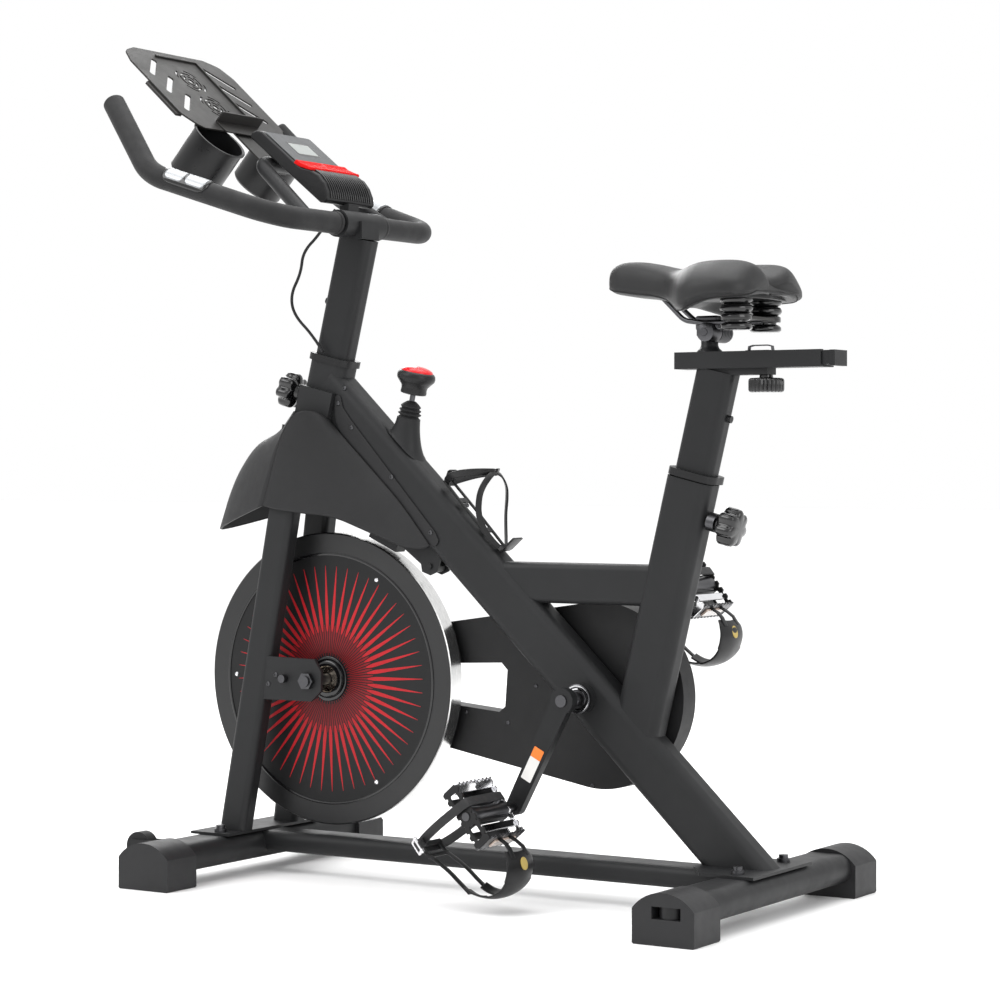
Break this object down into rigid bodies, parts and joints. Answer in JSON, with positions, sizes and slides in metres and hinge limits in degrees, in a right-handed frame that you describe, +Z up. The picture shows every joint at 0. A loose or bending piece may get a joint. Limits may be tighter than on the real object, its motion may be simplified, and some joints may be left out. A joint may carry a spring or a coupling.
{
  "type": "indoor cycling exercise bike",
  "caption": "Indoor cycling bike: heavy front flywheel with belt drive, toe-cage pedals, adjustable saddle and handlebar, console with tablet rest and cup holders.",
  "frame": {"origin": "on the floor, at the middle of the bike's length and width", "axes": "+Z up, +X towards the rear of the bike (the rider faces -X), -Y on the rider's left, +Y the belt side"},
  "size_m": [1.1382, 0.55, 1.2423],
  "materials": {
    "aluminium": "satin",
    "belt_rubber": "matte",
    "black_plastic": "fine matte grain",
    "frame_coat": "matte powder coat",
    "gloss_black": "gloss",
    "grip_rubber": "soft matte",
    "red_gloss": "gloss",
    "saddle_cover": "soft grained leatherette",
    "screen_face": "satin",
    "steel": "turned",
    "wheel_iron": "black with a polished rim"
  },
  "bodies": {
    "frame": {"front_stabilizer": "frame_coat", "rear_stabilizer": "frame_coat", "foot_caps": "black_plastic", "wheel_brackets": "frame_coat", "base_tube": "frame_coat", "diagonal_tube": "frame_coat", "head_tube": "frame_coat", "seat_tube": "frame_coat", "top_tube": "frame_coat", "fork_legs": "frame_coat", "weld_plates": "frame_coat", "wheel_axle": "steel", "bb_shell": "frame_coat", "frame_fasteners": "steel", "post_collars": "black_plastic", "drive_belt": "belt_rubber", "belt_guard_inner": "black_plastic", "belt_guard_outer": "black_plastic", "brake_housing": "black_plastic", "brake_bracket": "frame_coat", "bottle_cage": "black_plastic", "fender": "black_plastic", "sensor_cable": "black_plastic"},
    "flywheel": {"flywheel": "wheel_iron", "flywheel_covers": "gloss_black", "flywheel_pulley": "steel"},
    "crank": {"spindles": "steel", "crank_arms": "frame_coat", "drive_pulley": "black_plastic"},
    "pedal_left": {"pedal_left": "black_plastic", "toe_clip_left": "black_plastic"},
    "pedal_right": {"pedal_right": "black_plastic", "toe_clip_right": "black_plastic"},
    "handlebar_assembly": {"handlebar_post": "frame_coat", "handlebar": "grip_rubber", "inner_bar": "frame_coat", "bar_clamp": "frame_coat", "console_housing": "black_plastic", "console_face": "screen_face", "tablet_plate": "frame_coat", "cup_holders": "black_plastic", "pulse_sensors": "aluminium"},
    "mode_button": {"mode_button": "red_gloss"},
    "head_pin": {"head_pin": "steel"},
    "head_knob": {"head_knob": "black_plastic"},
    "seat_pin": {"seat_pin": "steel"},
    "seat_knob": {"seat_knob": "black_plastic"},
    "seat_post": {"seat_post": "frame_coat", "seat_rail": "frame_coat"},
    "seat_slider": {"seat_slider": "frame_coat"},
    "slider_knob": {"slider_knob": "black_plastic"},
    "saddle": {"saddle_cushion": "saddle_cover", "saddle_frame": "frame_coat"},
    "brake_rod": {"brake_rod": "steel"},
    "brake_knob": {"brake_knob": "red_gloss"},
    "brake_arm": {"brake_arm": "frame_coat"},
    "transport_wheel_left": {"transport_wheel_left": "grip_rubber"},
    "transport_wheel_right": {"transport_wheel_right": "grip_rubber"},
    "level_wheel_left": {"level_wheel_left": "black_plastic"},
    "level_wheel_right": {"level_wheel_right": "black_plastic"}
  },
  "joints": [
    {"name": "flywheel_spin", "type": "hinge", "parent": "frame", "child": "flywheel", "pos_m": [-0.25333, 0, 0.2932], "axis": [0, 1, 0], "continuous": true},
    {"name": "crank_spin", "type": "hinge", "parent": "frame", "child": "crank", "pos_m": [0.18807, 0, 0.285], "axis": [0, 1, 0], "continuous": true},
    {"name": "pedal_left_spin", "type": "hinge", "parent": "crank", "child": "pedal_left", "pos_m": [0.11037, -0.16, 0.1338], "axis": [0, 1, 0], "continuous": true},
    {"name": "pedal_right_spin", "type": "hinge", "parent": "crank", "child": "pedal_right", "pos_m": [0.26577, 0.16, 0.4362], "axis": [0, 1, 0], "continuous": true},
    {"name": "handlebar_height", "type": "slide", "parent": "frame", "child": "handlebar_assembly", "axis": [0.2368, 0, 0.9715], "range_m": [-0.06, 0.08], "deforming": ["sensor_cable"]},
    {"name": "mode_button_push", "type": "slide", "parent": "handlebar_assembly", "child": "mode_button", "axis": [-0.6315, 0, -0.7754], "range_m": [0, 0.0015], "stiffness_N_per_m": 400, "springref_m": -0.001},
    {"name": "head_pin_pull", "type": "slide", "parent": "frame", "child": "head_pin", "axis": [-0.9715, 0, 0.2368], "range_m": [0, 0.01], "stiffness_N_per_m": 400, "springref_m": -0.005},
    {"name": "head_knob_turn", "type": "hinge", "parent": "head_pin", "child": "head_knob", "pos_m": [-0.26749, 0, 0.705], "axis": [-0.9715, 0, 0.2368], "continuous": true},
    {"name": "seat_pin_pull", "type": "slide", "parent": "frame", "child": "seat_pin", "axis": [0.972, 0, -0.2351], "range_m": [0, 0.01], "stiffness_N_per_m": 400, "springref_m": -0.005},
    {"name": "seat_knob_turn", "type": "hinge", "parent": "seat_pin", "child": "seat_knob", "pos_m": [0.33942, 0, 0.541], "axis": [0.972, 0, -0.2351], "continuous": true},
    {"name": "seat_height", "type": "slide", "parent": "frame", "child": "seat_post", "axis": [0.2351, 0, 0.972], "range_m": [-0.06, 0.1]},
    {"name": "seat_slide", "type": "slide", "parent": "seat_post", "child": "seat_slider", "axis": [1, 0, 0], "range_m": [-0.008, 0.1]},
    {"name": "slider_knob_turn", "type": "hinge", "parent": "seat_post", "child": "slider_knob", "pos_m": [0.45907, 0, 0.725], "axis": [0, 0, 1], "continuous": true},
    {"name": "saddle_tilt", "type": "hinge", "parent": "seat_slider", "child": "saddle", "pos_m": [0.37307, 0, 0.788], "axis": [0, 1, 0], "range_deg": [-6, 6]},
    {"name": "brake_push", "type": "slide", "parent": "frame", "child": "brake_rod", "axis": [0.2139, 0, 0.9769], "range_m": [-0.004, 0], "stiffness_N_per_m": 1500, "springref_m": 0.002},
    {"name": "brake_knob_turn", "type": "hinge", "parent": "brake_rod", "child": "brake_knob", "pos_m": [-0.11343, 0, 0.7122], "axis": [0.2139, 0, 0.9769], "continuous": true},
    {"name": "brake_arm_pivot", "type": "hinge", "parent": "frame", "child": "brake_arm", "pos_m": [-0.07293, 0, 0.463], "axis": [0, 1, 0], "range_deg": [-2.6, 0.2]},
    {"name": "transport_wheel_left_spin", "type": "hinge", "parent": "frame", "child": "transport_wheel_left", "pos_m": [-0.46393, -0.191, 0.05], "axis": [0, 1, 0], "continuous": true},
    {"name": "transport_wheel_right_spin", "type": "hinge", "parent": "frame", "child": "transport_wheel_right", "pos_m": [-0.46393, 0.191, 0.05], "axis": [0, 1, 0], "continuous": true},
    {"name": "level_wheel_left_turn", "type": "hinge", "parent": "frame", "child": "level_wheel_left", "pos_m": [0.45657, -0.255, 0.042], "axis": [0, 0, 1], "continuous": true},
    {"name": "level_wheel_right_turn", "type": "hinge", "parent": "frame", "child": "level_wheel_right", "pos_m": [0.45657, 0.255, 0.042], "axis": [0, 0, 1], "continuous": true}
  ],
  "couplings": [
    {"joint": "crank_spin", "follows": "flywheel_spin", "ratio": 0.25},
    {"joint": "brake_arm_pivot", "follows": "brake_push", "rad_per_m": 10.95}
  ]
}
